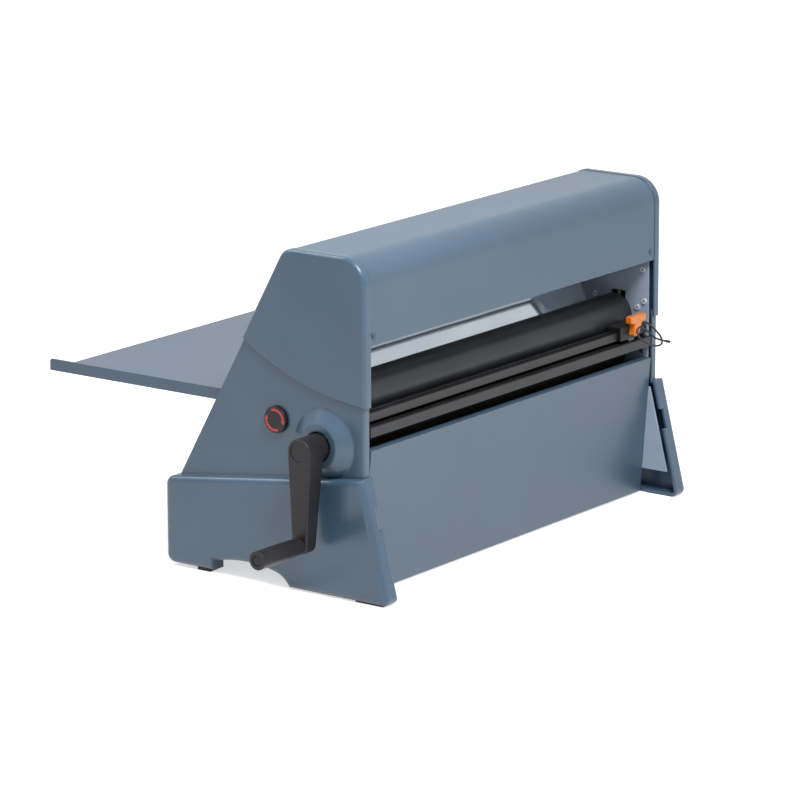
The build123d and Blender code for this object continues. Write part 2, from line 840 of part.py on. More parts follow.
with BuildPart() as mandrel_bushes:
    for y, z in rolls_at:
        bush(y, z, mandrel_r + run_gap, plate_face)
    mirror(about=middle)
mandrel_bushes.part.label = "mandrel_bushes"
export_step(mandrel_bushes.part, "parts/mandrel_bushes.step")

with BuildPart() as brake_washers:
    for y, z in rolls_at:
        rod(y, z, bush_flange_r, -plate_face - felt_t, -plate_face)
        rod(y, z, mandrel_r + run_gap, -plate_face - felt_t, -plate_face, mode=Mode.SUBTRACT)
brake_washers.part.label = "brake_washers"
export_step(brake_washers.part, "parts/brake_washers.step")

with BuildPart() as latch_bush:
    rod(knob_y, knob_z, latch_bush_r, -plate_face, -half_gap)
    rod(knob_y, knob_z, latch_bush_r + bush_flange_t, -plate_face - bush_flange_t, -plate_face)
    rod(knob_y, knob_z, spindle_r + run_gap, -plate_face - wall, -half_gap, mode=Mode.SUBTRACT)
latch_bush.part.label = "latch_bush"
export_step(latch_bush.part, "parts/latch_bush.step")

# Pressure springs: hard rubber cylinders in the plates' slots, on the bearing blocks
with BuildPart() as pressure_springs:
    spring_low_z = top_axis_z + block_h / 2 + run_clear
    with Locations(flat(-half_gap - plate_t / 2, top_axis_y, spring_low_z)):
        Cylinder(spring_r, slot_top_z - spring_low_z, align=seated)
        Cylinder(spring_bore_r, slot_top_z - spring_low_z, align=seated, mode=Mode.SUBTRACT)
    mirror(about=middle)
pressure_springs.part.label = "pressure_springs"
export_step(pressure_springs.part, "parts/pressure_springs.step")

with BuildPart() as lid_hinge_pins:
    rod(hinge_y, hinge_z, hinge_r, -pin_end, -half_gap + bush_flange_t)
    rod(hinge_y, hinge_z, hinge_r * 1.5, -half_gap, -half_gap + bush_flange_t)
    mirror(about=middle)
lid_hinge_pins.part.label = "lid_hinge_pins"
export_step(lid_hinge_pins.part, "parts/lid_hinge_pins.step")

# Film between each roll and its roller
with BuildPart() as upper_film_web:
    web(upper_roll_y, upper_roll_z, top_axis_y, top_axis_z)
upper_film_web.part.label = "upper_film_web"
export_step(upper_film_web.part, "parts/upper_film_web.step")

with BuildPart() as lower_film_web:
    web(lower_roll_y, lower_roll_z, low_axis_y, low_axis_z)
lower_film_web.part.label = "lower_film_web"
export_step(lower_film_web.part, "parts/lower_film_web.step")

# Rubber feet under the soles of the base
with BuildPart() as rubber_feet:
    pad_x = (-base_face + wall * 2, -rim_x - wall)
    block(pad_x, front_pad_y, (0, front_sole_z))
    block(pad_x, rear_pad_y, (0, rear_sole_z))
    mirror(about=middle)
rubber_feet.part.label = "rubber_feet"
export_step(rubber_feet.part, "parts/rubber_feet.step")

# Screws: heads inside on the plates for the housings, outside for the panels and rails
with BuildPart() as housing_screws:
    for y, z in housing_screws_at:
        hexagon(y, z, screw_head_r, -half_gap, -half_gap + screw_head_t)
        rod(y, z, screw_r, -rim_x - screw_bite, -half_gap)
    mirror(about=middle)
housing_screws.part.label = "housing_screws"
export_step(housing_screws.part, "parts/housing_screws.step")

with BuildPart() as panel_screws:
    for y, z in panel_screws_at:
        hexagon(y, z, screw_head_r, -plate_face - screw_head_t, -plate_face)
        rod(y, z, screw_r, -plate_face, -sheet_half + sheet_t + 1)
    mirror(about=middle)
panel_screws.part.label = "panel_screws"
export_step(panel_screws.part, "parts/panel_screws.step")

with BuildPart() as rail_screws:
    for y, z in rail_screws_at:
        hexagon(y, z, screw_head_r, -plate_face - screw_head_t, -plate_face)
        rod(y, z, screw_r, -plate_face, -sheet_half + screw_bite)
    mirror(about=middle)
rail_screws.part.label = "rail_screws"
export_step(rail_screws.part, "parts/rail_screws.step")

with BuildPart() as plate_screws:
    for y, z in plate_screws_at:
        screw(y, z, -half_gap, -plate_face - plate_nut_t - 1)
    mirror(about=middle)
plate_screws.part.label = "plate_screws"
export_step(plate_screws.part, "parts/plate_screws.step")

with BuildPart() as plate_nuts:
    for y, z in plate_screws_at:
        hexagon(y, z, screw_head_r, -plate_face - plate_nut_t, -plate_face)
        rod(y, z, screw_r, -plate_face - plate_nut_t, -plate_face, mode=Mode.SUBTRACT)
    mirror(about=middle)
plate_nuts.part.label = "plate_nuts"
export_step(plate_nuts.part, "parts/plate_nuts.step")

# Lower nip roller, on the crank's shaft
with BuildPart() as lower_roller_core:
    rod(low_axis_y, low_axis_z, core_r, -core_end, core_end)
    rod(low_axis_y, low_axis_z, journal_r, -shaft_end, gear_x + gear_t)
    rod(low_axis_y, low_axis_z, cap_screw_r, -shaft_end, -shaft_end + screw_bite, mode=Mode.SUBTRACT)
lower_roller_core.part.label = "lower_roller_core"
export_step(lower_roller_core.part, "parts/lower_roller_core.step")

with BuildPart() as lower_roller_rubber:
    ring(low_axis_y, low_axis_z, roller_r, core_r, roller_half)
lower_roller_rubber.part.label = "lower_roller_rubber"
export_step(lower_roller_rubber.part, "parts/lower_roller_rubber.step")

with BuildPart() as drive_gear:
    add(gear(low_axis_y, low_axis_z, journal_r, 90 + nip_lean))
drive_gear.part.label = "drive_gear"
export_step(drive_gear.part, "parts/drive_gear.step")

# Upper nip roller: the gap between two of its teeth faces the drive gear
with BuildPart() as upper_roller_core:
    top_end = half_gap - slide_gap - block_flange_t - run_clear
    rod(top_axis_y, top_axis_z, core_r, -top_end, top_end)
    rod(top_axis_y, top_axis_z, journal_r, -gear_x, gear_x + gear_t)
upper_roller_core.part.label = "upper_roller_core"
export_step(upper_roller_core.part, "parts/upper_roller_core.step")

with BuildPart() as upper_roller_rubber:
    ring(top_axis_y, top_axis_z, roller_r, core_r, roller_half)
upper_roller_rubber.part.label = "upper_roller_rubber"
export_step(upper_roller_rubber.part, "parts/upper_roller_rubber.step")

with BuildPart() as driven_gear:
    add(gear(top_axis_y, top_axis_z, journal_r, 270 + nip_lean + 180 / gear_teeth))
driven_gear.part.label = "driven_gear"
export_step(driven_gear.part, "parts/driven_gear.step")

# Bearing blocks that slide up in the plates' slots
with BuildPart() as bearing_blocks:
    in_x = -half_gap + slide_gap
    out_x = -plate_face - slide_gap
    low_z = top_axis_z - block_h / 2
    block((out_x, in_x), (top_axis_y - block_w / 2, top_axis_y + block_w / 2), (low_z, low_z + block_h))
    flange_y = (top_axis_y - block_w / 2 - block_flange, top_axis_y + block_w / 2 + block_flange)
    block((in_x, in_x + block_flange_t), flange_y, (low_z, low_z + block_h))
    block((out_x - block_flange_t, out_x), flange_y, (low_z, low_z + block_h))
    rod(top_axis_y, top_axis_z, journal_r + run_gap, -gear_x, -core_end + wall, mode=Mode.SUBTRACT)
    mirror(about=middle)
bearing_blocks.part.label = "bearing_blocks"
export_step(bearing_blocks.part, "parts/bearing_blocks.step")

# Film rolls: mandrel, cardboard core and wound film, above and below
with BuildPart() as upper_mandrel:
    mandrel(upper_roll_y, upper_roll_z)
upper_mandrel.part.label = "upper_mandrel"
export_step(upper_mandrel.part, "parts/upper_mandrel.step")

with BuildPart() as upper_core:
    ring(upper_roll_y, upper_roll_z, core_out_r, core_in_r, roll_half + core_overhang)
upper_core.part.label = "upper_core"
export_step(upper_core.part, "parts/upper_core.step")

with BuildPart() as upper_film_roll:
    ring(upper_roll_y, upper_roll_z, film_r, core_out_r, roll_half)
upper_film_roll.part.label = "upper_film_roll"
export_step(upper_film_roll.part, "parts/upper_film_roll.step")

with BuildPart() as lower_mandrel:
    mandrel(lower_roll_y, lower_roll_z)
lower_mandrel.part.label = "lower_mandrel"
export_step(lower_mandrel.part, "parts/lower_mandrel.step")

with BuildPart() as lower_core:
    ring(lower_roll_y, lower_roll_z, core_out_r, core_in_r, roll_half + core_overhang)
lower_core.part.label = "lower_core"
export_step(lower_core.part, "parts/lower_core.step")

with BuildPart() as lower_film_roll:
    ring(lower_roll_y, lower_roll_z, film_r, core_out_r, roll_half)
lower_film_roll.part.label = "lower_film_roll"
export_step(lower_film_roll.part, "parts/lower_film_roll.step")

# Lid: a bent cover between two cheeks, swung up and back on the hinge pins
with BuildPart() as top_cover:
    with BuildSketch(side(-rim_x)):
        add(upper_outline(cover_inset))
        add(upper_outline(cover_inset + cover_t), mode=Mode.SUBTRACT)
        Rectangle(hinge_y, cover_low_z, align=corner, mode=Mode.SUBTRACT)
        with Locations((hinge_y, 0)):
            Rectangle(shoulder_y, hinge_z + hinge_rim_end, align=corner, mode=Mode.SUBTRACT)
        with Locations((front_face + cover_inset, cover_low_z)):
            Rectangle(cover_hem, cover_t, align=corner)
    extrude(amount=rim_x * 2)
    for x in (-lug_x, lug_x):
        with Locations(face_on(x, front_face + cover_inset, cover_screw_z)):
            Cylinder(screw_r, cover_t * 3, mode=Mode.SUBTRACT)
top_cover.part.label = "top_cover"
export_step(top_cover.part, "parts/top_cover.step")

with BuildPart() as left_lid_cheek:
    add(lid_cheek())
left_lid_cheek.part.label = "left_lid_cheek"
export_step(left_lid_cheek.part, "parts/left_lid_cheek.step")

with BuildPart() as right_lid_cheek:
    add(lid_cheek())
    mirror(about=middle, mode=Mode.REPLACE)
right_lid_cheek.part.label = "right_lid_cheek"
export_step(right_lid_cheek.part, "parts/right_lid_cheek.step")

with BuildPart() as cover_screws:
    for x in (-lug_x, lug_x):
        with Locations(face_on(x, front_face + cover_inset, cover_screw_z)):
            Cylinder(screw_head_r, cover_screw_t, align=seated)
            Cylinder(screw_r, cover_t + lug_t, align=(Align.CENTER, Align.CENTER, Align.MAX))
cover_screws.part.label = "cover_screws"
export_step(cover_screws.part, "parts/cover_screws.step")

with BuildPart() as latch_stud:
    rod(knob_y, knob_z + latch_reach, latch_stud_r, -lid_face + wall, -hook_x + run_clear)
latch_stud.part.label = "latch_stud"
export_step(latch_stud.part, "parts/latch_stud.step")

# Latch: knob outside the housing, spindle through the plate, hook behind the wall
with BuildPart() as latch_knob:
    rod(knob_y, knob_z, knob_r, -lid_face + wall - knob_t - run_clear, -low_face - run_clear)
    fillet(latch_knob.edges().group_by(Axis.X)[0], radius=knob_round)
latch_knob.part.label = "latch_knob"
export_step(latch_knob.part, "parts/latch_knob.step")

with BuildPart() as latch_spindle:
    rod(knob_y, knob_z, spindle_r, -low_face - run_clear, -half_gap)
latch_spindle.part.label = "latch_spindle"
export_step(latch_spindle.part, "parts/latch_spindle.step")

with BuildPart() as latch_hook:
    finger_in = latch_reach + latch_stud_r + latch_gap
    finger_mid = finger_in + latch_finger / 2
    first = latch_lead - latch_span
    with BuildSketch(side(-hook_x - latch_t)):
        with BuildLine():
            CenterArc((knob_y, knob_z), finger_in, first, latch_span)
            CenterArc((knob_y, knob_z), finger_in + latch_finger, first, latch_span)
            for turn in (first, latch_lead):
                spoke = Vector(1, 0).rotate(Axis.Z, turn)
                hub_at = Vector(knob_y, knob_z)
                Line(hub_at + spoke * finger_in, hub_at + spoke * (finger_in + latch_finger))
        make_face()
        with Locations(Location((knob_y, knob_z), first + math.degrees(latch_w / 2 / finger_mid))):
            Rectangle(finger_mid, latch_w, align=(Align.MIN, Align.CENTER))
        with Locations((knob_y, knob_z)):
            Circle(latch_w * 0.75)
            Circle(spindle_r, mode=Mode.SUBTRACT)
    extrude(amount=latch_t)
latch_hook.part.label = "latch_hook"
export_step(latch_hook.part, "parts/latch_hook.step")

# Crank: a hub on the shaft and a tapered arm down to the grip
with BuildPart() as crank_arm:
    grip_z = low_axis_z - arm_len
    with BuildSketch(side(-hub_end)):
        with Locations((low_axis_y, low_axis_z)):
            Circle(hub_r)
        with Locations((low_axis_y, grip_z)):
            Circle(arm_tip_w / 2)
        make_hull()
    extrude(amount=arm_t)
    with BuildSketch(face_on(0, low_axis_y - hub_len, 0)):
        with BuildLine():
            Polyline(
                (-hub_end + arm_t, low_axis_z),
                (-hub_end + arm_tip_t, grip_z - arm_tip_w / 2),
                (-hub_end + arm_t, grip_z - arm_tip_w / 2),
                close=True,
            )
        make_face()
    extrude(amount=-hub_len * 2, mode=Mode.SUBTRACT)
    fillet(crank_arm.edges().group_by(Axis.X)[0], radius=arm_round)
    rod(low_axis_y, low_axis_z, hub_r, -hub_end + arm_tip_t, -base_face - crank_gap)
    rod(low_axis_y, low_axis_z, cap_r + run_gap, -hub_end, -hub_end + cap_depth, mode=Mode.SUBTRACT)
    rod(low_axis_y, low_axis_z, cap_screw_r * 2, -hub_end, -cap_head_x, mode=Mode.SUBTRACT)
    rod(low_axis_y, low_axis_z, cap_screw_r, -hub_end, -base_face, mode=Mode.SUBTRACT)
    rod(low_axis_y, low_axis_z, journal_r, -shaft_end, -base_face, mode=Mode.SUBTRACT)
    rod(low_axis_y, grip_z, grip_pin_r, -hub_end - wall, -hub_end + grip_pin_in, mode=Mode.SUBTRACT)
crank_arm.part.label = "crank_arm"
export_step(crank_arm.part, "parts/crank_arm.step")

with BuildPart() as crank_cap:
    rod(low_axis_y, low_axis_z, cap_r, -hub_end + cap_set, -hub_end + cap_depth)
crank_cap.part.label = "crank_cap"
export_step(crank_cap.part, "parts/crank_cap.step")

with BuildPart() as crank_screw:
    rod(low_axis_y, low_axis_z, cap_screw_r * 2, -hub_end + cap_depth, -cap_head_x)
    rod(low_axis_y, low_axis_z, cap_screw_r, -cap_head_x, -shaft_end + screw_bite)
crank_screw.part.label = "crank_screw"
export_step(crank_screw.part, "parts/crank_screw.step")

with BuildPart() as grip_spindle:
    rod(low_axis_y, grip_z, grip_pin_r, -grip_end + grip_head_t, -hub_end + grip_pin_in)
    rod(low_axis_y, grip_z, grip_head_r, -grip_end + grip_set, -grip_end + grip_set + grip_head_t)
grip_spindle.part.label = "grip_spindle"
export_step(grip_spindle.part, "parts/grip_spindle.step")

# Grip: turned, a little fuller towards its flat outer end, free to spin on its spindle
with BuildPart() as crank_grip:
    root_x = -hub_end - lip_gap
    with BuildSketch(Plane(origin=side(0, low_axis_y, grip_z).origin, x_dir=(1, 0, 0), z_dir=(0, -1, 0))):
        with BuildLine():
            Polyline(
                (root_x, grip_pin_r + run_gap),
                (root_x, grip_root_r - 1),
                (root_x - 1, grip_root_r),
            )
            Spline(
                (root_x - 1, grip_root_r),
                (root_x - grip_len * 0.35, grip_r - 0.4),
                (root_x - grip_len * 0.75, grip_r - 0.1),
                (-grip_end + grip_round, grip_r),
            )
            RadiusArc((-grip_end + grip_round, grip_r), (-grip_end, grip_r - grip_round), -grip_round)
            Polyline(
                (-grip_end, grip_r - grip_round),
                (-grip_end, grip_head_r + 1),
                (-grip_end + grip_pocket, grip_head_r + 1),
                (-grip_end + grip_pocket, grip_pin_r + run_gap),
                (root_x, grip_pin_r + run_gap),
            )
        make_face()
    revolve(axis=Axis(side(0, low_axis_y, grip_z).origin, (1, 0, 0)))
crank_grip.part.label = "crank_grip"
export_step(crank_grip.part, "parts/crank_grip.step")

# Cutter: a carriage that rides on the rail, a T handle in front, a blade down into the exit bar
with BuildPart() as cutter_carriage:
    carriage_x = (cutter_x - carriage_left, cutter_x + carriage_right)
    top_from_z = rail_z + rail_h + cutter_gap
    block(carriage_x, (skirt_y, carriage_back_y), (top_from_z, carriage_top_z))
    block(carriage_x, (skirt_y, rail_y - cutter_gap), (rail_z + cutter_gap * 2, top_from_z))
    fillet(cutter_carriage.edges().filter_by(Axis.X).group_by(Axis.Z)[-1], radius=carriage_round)
    fillet(cutter_carriage.edges().filter_by(Axis.Z), radius=carriage_round / 2)
    key_y = rail_y + rail_w / 2
    neck = groove_w / 2 - cutter_gap
    key = groove_in_w / 2 - cutter_gap
    key_z = rail_z + rail_h - groove_h / 2 - cutter_gap
    block(carriage_x, (key_y - neck, key_y + neck), (key_z, top_from_z))
    block(carriage_x, (key_y - key, key_y + key), (rail_z + rail_h - groove_h + cutter_gap, key_z))
    blade_x = (cutter_x - blade_w / 2, cutter_x + blade_w / 2)
    blade_ys = (blade_y - blade_t / 2, blade_y + blade_t / 2)
    block(blade_x, blade_ys, (rail_z, blade_top_z), mode=Mode.SUBTRACT)
cutter_carriage.part.label = "cutter_carriage"
export_step(cutter_carriage.part, "parts/cutter_carriage.step")

with BuildPart() as cutter_handle:
    with BuildSketch(face_on(0, skirt_y, 0)):
        with BuildLine():
            Polyline(
                (cutter_x - handle_w / 2, bar_low_z),
                (cutter_x - handle_w / 2, bar_top_z),
                (cutter_x + handle_w / 2, bar_top_z),
                (cutter_x + handle_w / 2, bar_low_z),
                (cutter_x + stem_w / 2, bar_low_z),
                (cutter_x - stem_lean + stem_tip_w / 2, stem_z),
                (cutter_x - stem_lean - stem_tip_w / 2, stem_z),
                (cutter_x - stem_w / 2, bar_low_z),
                close=True,
            )
        make_face()
        fillet(vertices(), radius=handle_round)
    extrude(amount=handle_t)
    fillet(cutter_handle.edges().group_by(Axis.Y)[0], radius=handle_round * 0.75)
cutter_handle.part.label = "cutter_handle"
export_step(cutter_handle.part, "parts/cutter_handle.step")

with BuildPart() as cutter_blade:
    with BuildSketch(face_on(0, blade_y - blade_t / 2, 0)):
        with BuildLine():
            Polyline(
                (blade_x[0], blade_tip_z),
                (blade_x[1], blade_tip_z + blade_w / 2),
                (blade_x[1], blade_top_z),
                (blade_x[0], blade_top_z),
                close=True,
            )
        make_face()
    extrude(amount=-blade_t)
cutter_blade.part.label = "cutter_blade"
export_step(cutter_blade.part, "parts/cutter_blade.step")

# Thin cord out of the carriage's end: about one and a half loose loops and a free end
with BuildPart() as cutter_cord:
    with BuildLine() as cord_path:
        points = [Vector(mid_x + x, front_y + y, z) for x, y, z in cord_route]
        points[0] = Vector(mid_x + carriage_x[1], points[0].Y, points[0].Z)
        radii = []
        for before, at, after in zip(points, points[1:], points[2:]):
            half_turn = math.radians((at - before).get_angle(after - at)) / 2
            run = min((at - before).length, (after - at).length)
            radii.append(cord_share * run / math.tan(half_turn))
        FilletPolyline(*points, radius=radii)
    with BuildSketch(Plane(cord_path.line @ 0, z_dir=cord_path.line % 0)) as cord_section:
        Circle(cord_d / 2)
    sweep(sections=cord_section.sketch, path=cord_path.line)
cutter_cord.part.label = "cutter_cord"
export_step(cutter_cord.part, "parts/cutter_cord.step")
cord_length = cord_path.wires()[0].length
print("cord radii", [round(radius, 1) for radius in radii], "length", round(cord_length, 1))
tube = math.pi * (cord_d / 2) ** 2 * cord_length
print("cord volume over section times length", round(cutter_cord.part.volume / tube, 4))
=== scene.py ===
import math

import bmesh
import bpy
from mathutils import Matrix, Vector


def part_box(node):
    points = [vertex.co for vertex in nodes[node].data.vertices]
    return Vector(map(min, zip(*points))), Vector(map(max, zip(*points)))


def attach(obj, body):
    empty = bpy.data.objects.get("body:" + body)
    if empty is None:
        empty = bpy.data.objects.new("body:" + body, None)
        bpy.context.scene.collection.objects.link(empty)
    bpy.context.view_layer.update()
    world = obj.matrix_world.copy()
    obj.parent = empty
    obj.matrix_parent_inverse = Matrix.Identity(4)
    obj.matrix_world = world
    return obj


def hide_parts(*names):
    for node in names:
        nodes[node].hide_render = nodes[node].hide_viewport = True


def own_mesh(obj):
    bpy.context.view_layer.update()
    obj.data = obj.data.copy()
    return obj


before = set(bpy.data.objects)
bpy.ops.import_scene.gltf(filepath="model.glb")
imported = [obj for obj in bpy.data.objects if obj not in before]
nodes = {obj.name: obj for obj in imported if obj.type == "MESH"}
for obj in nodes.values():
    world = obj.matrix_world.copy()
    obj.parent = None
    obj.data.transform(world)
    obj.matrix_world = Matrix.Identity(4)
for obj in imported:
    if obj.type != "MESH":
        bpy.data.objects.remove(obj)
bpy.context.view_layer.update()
scene = bpy.context.scene
scene.view_settings.view_transform = "Standard"
print("loaded", len(nodes), "nodes")

# places on the machine are in mm from its middle, the line of its foot tips and the table
panelSetBack = 48  # from that line to the front panel's face
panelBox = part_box("front_panel")
middleX = (panelBox[0].x + panelBox[1].x) / 2
footTipY = panelBox[0].y - panelSetBack / 1000


def at(x, y, z):
    return Vector((middleX + x / 1000, footTipY + y / 1000, z / 1000))


# camera, far off with a long lens, as in the photograph
view = {
    "place": (-4.98979, -3.799245, 1.71797),
    "yaw": 53.5,
    "pitch": 13.73,
    "roll": -0.17,
    "lens": 203.85,
    "sensor": 36,
    "far": 60,
}

cameraData = bpy.data.cameras.new("camera")
cameraData.lens = view["lens"]
cameraData.sensor_width = view["sensor"]
cameraData.clip_end = view["far"]
camera = bpy.data.objects.new("camera", cameraData)
scene.collection.objects.link(camera)
turn = Matrix.Rotation(math.radians(-view["yaw"]), 4, "Z")
turn = turn @ Matrix.Rotation(math.radians(90 - view["pitch"]), 4, "X")
turn = turn @ Matrix.Rotation(math.radians(view["roll"]), 4, "Z")
camera.matrix_world = Matrix.Translation(view["place"]) @ turn
scene.camera = camera
print("camera set")


def toLinear(text):
    channels = [int(text[i:i + 2], 16) / 255 for i in (1, 3, 5)]
    linear = [c / 12.92 if c <= 0.04045 else ((c + 0.055) / 1.055) ** 2.4 for c in channels]
    return (*linear, 1.0)


def addNode(owner, kind, values=None, **settings):
    # a value that is a pair of (node, output) becomes a link
    node = owner.node_tree.nodes.new(kind)
    for key, value in settings.items():
        setattr(node, key, value)
    for key, value in (values or {}).items():
        if isinstance(value, tuple) and isinstance(value[0], bpy.types.Node):
            owner.node_tree.links.new(value[0].outputs[value[1]], node.inputs[key])
        else:
            node.inputs[key].default_value = value
    return node


def newMaterial(name):
    material = bpy.data.materials.new(name)
    material.use_nodes = True
    material.node_tree.nodes.clear()
    return material


def perMm(size):
    return 1000 / size  # texture scale that repeats about every so many mm


# shared by the finishes: the part of a noise that a tone runs over, how far the gloss follows
# it, where corners are rubbed pale, and how far the painted shade in seams and inner corners
# reaches
drift = {"From Min": 0.3, "From Max": 0.7}
glossDrift = (-0.03, 0.04)
wearMarks = {
    "bevelMm": 0.8, "flat": 0.99, "corner": 0.86,
    "patchMm": 9, "bare": 0.42, "rubbed": 0.66, "most": 0.55,
}
paintedCreaseShade = {"reachMm": 6, "shut": 0.35, "open": 0.8, "colour": "#1B222A"}


def worn(m, colour, pale):
    # a paler tone where corners are rubbed, broken into patches
    face = addNode(m, "ShaderNodeNewGeometry")
    bevel = addNode(m, "ShaderNodeBevel", {"Radius": wearMarks["bevelMm"] / 1000}, samples=4)
    bent = addNode(m, "ShaderNodeVectorMath", {0: (bevel, "Normal"), 1: (face, "Normal")},
                   operation="DOT_PRODUCT")
    corner = addNode(m, "ShaderNodeMapRange", {
        "Value": (bent, "Value"),
        "From Min": wearMarks["flat"],
        "From Max": wearMarks["corner"],
    })
    where = addNode(m, "ShaderNodeTexCoord")
    patch = addNode(m, "ShaderNodeTexNoise", {
        "Vector": (where, "Object"),
        "Scale": perMm(wearMarks["patchMm"]),
        "Detail": 5.0,
    })
    patchy = addNode(m, "ShaderNodeMapRange", {
        "Value": (patch, "Fac"),
        "From Min": wearMarks["bare"],
        "From Max": wearMarks["rubbed"],
        "To Max": wearMarks["most"],
    })
    amount = addNode(m, "ShaderNodeMath", {0: (corner, "Result"), 1: (patchy, "Result")},
                     operation="MULTIPLY")
    mix = {"Factor": (amount, "Value"), "A": colour, "B": toLinear(pale)}
    return addNode(m, "ShaderNodeMix", mix, data_type="RGBA"), "Result"


def paintCreaseShade(m, colour, depth):
    # painted shade: the colour darkens towards a dark blue-grey in seams and inner corners, where
    # shade falls
    reach = {"Distance": paintedCreaseShade["reachMm"] / 1000}
    nearby = addNode(m, "ShaderNodeAmbientOcclusion", reach, samples=4)
    shadeAmount = addNode(m, "ShaderNodeMapRange", {
        "Value": (nearby, "AO"),
        "From Min": paintedCreaseShade["shut"],
        "From Max": paintedCreaseShade["open"],
        "To Min": depth,
        "To Max": 0.0,
    })
    mix = {"Factor": (shadeAmount, "Result"), "A": colour, "B": toLinear(paintedCreaseShade["colour"])}
    return addNode(m, "ShaderNodeMix", mix, data_type="RGBA"), "Result"


def surface(look):
    # one finish: slow colour drift, fine grain in relief, softened edges, wear and painted shade
    # in creases
    m = newMaterial(look["name"])
    where = addNode(m, "ShaderNodeTexCoord")
    cloud = addNode(m, "ShaderNodeTexNoise", {
        "Vector": (where, "Object"),
        "Scale": perMm(look["cloudMm"]),
        "Detail": 4.0,
    })
    tone = addNode(m, "ShaderNodeMapRange", {"Value": (cloud, "Fac"), **drift})
    mix = {"Factor": (tone, "Result"), "A": toLinear(look["dark"]), "B": toLinear(look["light"])}
    colour = addNode(m, "ShaderNodeMix", mix, data_type="RGBA"), "Result"
    if "wear" in look:
        colour = worn(m, colour, look["wear"])
    # painted shade: darkens the colour in seams and inner corners
    if "crease" in look:
        colour = paintCreaseShade(m, colour, look["crease"])
    rough = addNode(m, "ShaderNodeMapRange", {
        "Value": (cloud, "Fac"),
        **drift,
        "To Min": look["rough"] + glossDrift[0],
        "To Max": look["rough"] + glossDrift[1],
    })
    stretch = {"Vector": (where, "Object"), "Scale": look.get("stretch", (1, 1, 1))}
    drawn = addNode(m, "ShaderNodeMapping", stretch)
    grain = addNode(m, "ShaderNodeTexNoise", {
        "Vector": (drawn, "Vector"),
        "Scale": perMm(look["grainMm"]),
        "Detail": 2.0,
    })
    edge = addNode(m, "ShaderNodeBevel", {"Radius": look["edgeMm"] / 1000}, samples=6)
    relief = addNode(m, "ShaderNodeBump", {
        "Strength": look.get("relief", 0.3),
        "Distance": look["depthMm"] / 1000,
        "Height": (grain, "Fac"),
        "Normal": (edge, "Normal"),
    })
    shader = addNode(m, "ShaderNodeBsdfPrincipled", {
        "Base Color": colour,
        "Roughness": (rough, "Result"),
        "Metallic": look.get("metal", 0.0),
        "Coat Weight": look.get("coat", 0.0),
        "Coat Roughness": look.get("coatRough", 0.2),
        "Anisotropic": look.get("brushed", 0.0),
        "Specular IOR Level": look.get("shine", 0.5),
        "Normal": (relief, "Normal"),
    })
    addNode(m, "ShaderNodeOutputMaterial", {"Surface": (shader, "BSDF")})
    return m


def newPiece(name, bm, material, body, smooth=True):
    mesh = bpy.data.meshes.new(name)
    bm.to_mesh(mesh)
    bm.free()
    mesh.materials.append(material)
    for face in mesh.polygons:
        face.use_smooth = smooth
    piece = bpy.data.objects.new(name, mesh)
    scene.collection.objects.link(piece)
    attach(piece, body)
    return piece


def turned(bm, profile, sides, place, closed=False):
    # a turned shape: one ring of points for each (radius, along) of its profile, in mm
    rings = []
    for radius, along in profile:
        ring = []
        for i in range(sides):
            angle = math.tau * i / sides
            spot = Vector((math.cos(angle) * radius, math.sin(angle) * radius, along)) / 1000
            ring.append(bm.verts.new(place @ spot))
        rings.append(ring)
    last = rings[:1] if closed else []
    for low, high in zip(rings, rings[1:] + last):
        for i in range(sides):
            j = (i + 1) % sides
            bm.faces.new((low[i], low[j], high[j], high[i]))
    return rings


def dress(material, *names):
    for name in names:
        nodes[name].data.materials.clear()
        nodes[name].data.materials.append(material)


# moulded ABS in grey-blue: a fine spark texture and a soft sheen, with painted shade darkening
# its seams and inner corners
mouldedAbs = surface({
    "name": "mouldedAbs", "dark": "#395166", "light": "#41596E", "cloudMm": 140, "grainMm": 0.9,
    "depthMm": 0.05, "relief": 0.2, "rough": 0.3, "edgeMm": 4.5, "coat": 0.12, "coatRough": 0.15,
    "wear": "#7E93A4", "crease": 0.9,
})
# powder coat on bent sheet: shallow orange peel that breaks up the highlight
powderCoat = surface({
    "name": "powderCoat", "dark": "#3E5265", "light": "#45596C", "cloudMm": 180, "grainMm": 1.6,
    "depthMm": 0.08, "relief": 0.25, "rough": 0.36, "edgeMm": 0.5, "coat": 0.05,
    "coatRough": 0.25, "wear": "#8A99A5",
})
# powder coat of the inner side plates, smoother; its pale tone is partly the plates' own and
# partly painted light, so they stand out bright in the shade behind the seam
plateCoatWithPaintedLight = surface({
    "name": "plateCoatWithPaintedLight", "dark": "#93A0B4", "light": "#9EABBE", "cloudMm": 90, "grainMm": 1.4,
    "depthMm": 0.05, "relief": 0.2, "rough": 0.3, "edgeMm": 0.4, "coat": 0.2, "coatRough": 0.2,
    "wear": "#98A3AF",
})
# satin paint on the cover: smoother than the powder coat, so the long top catches the light
satinPaint = surface({
    "name": "satinPaint", "dark": "#425769", "light": "#495E71", "cloudMm": 260, "grainMm": 2.2,
    "depthMm": 0.06, "relief": 0.2, "rough": 0.34, "edgeMm": 0.8, "shine": 0.46,
    "wear": "#8C9BA8",
})
# ground silicone rubber: dark and soft, with rings left by the grinding wheel
groundRubber = surface({
    "name": "groundRubber", "dark": "#1C1E21", "light": "#24272A", "cloudMm": 90, "grainMm": 0.7,
    "depthMm": 0.04, "relief": 0.35, "rough": 0.4, "edgeMm": 0.6, "stretch": (1, 0.02, 0.02),
    "shine": 0.35,
})
# black moulded rubber of the feet: matt and a little dusty
footRubber = surface({
    "name": "footRubber", "dark": "#1E1E1F", "light": "#292929", "cloudMm": 12, "grainMm": 0.6,
    "depthMm": 0.08, "rough": 0.75, "edgeMm": 0.5,
})
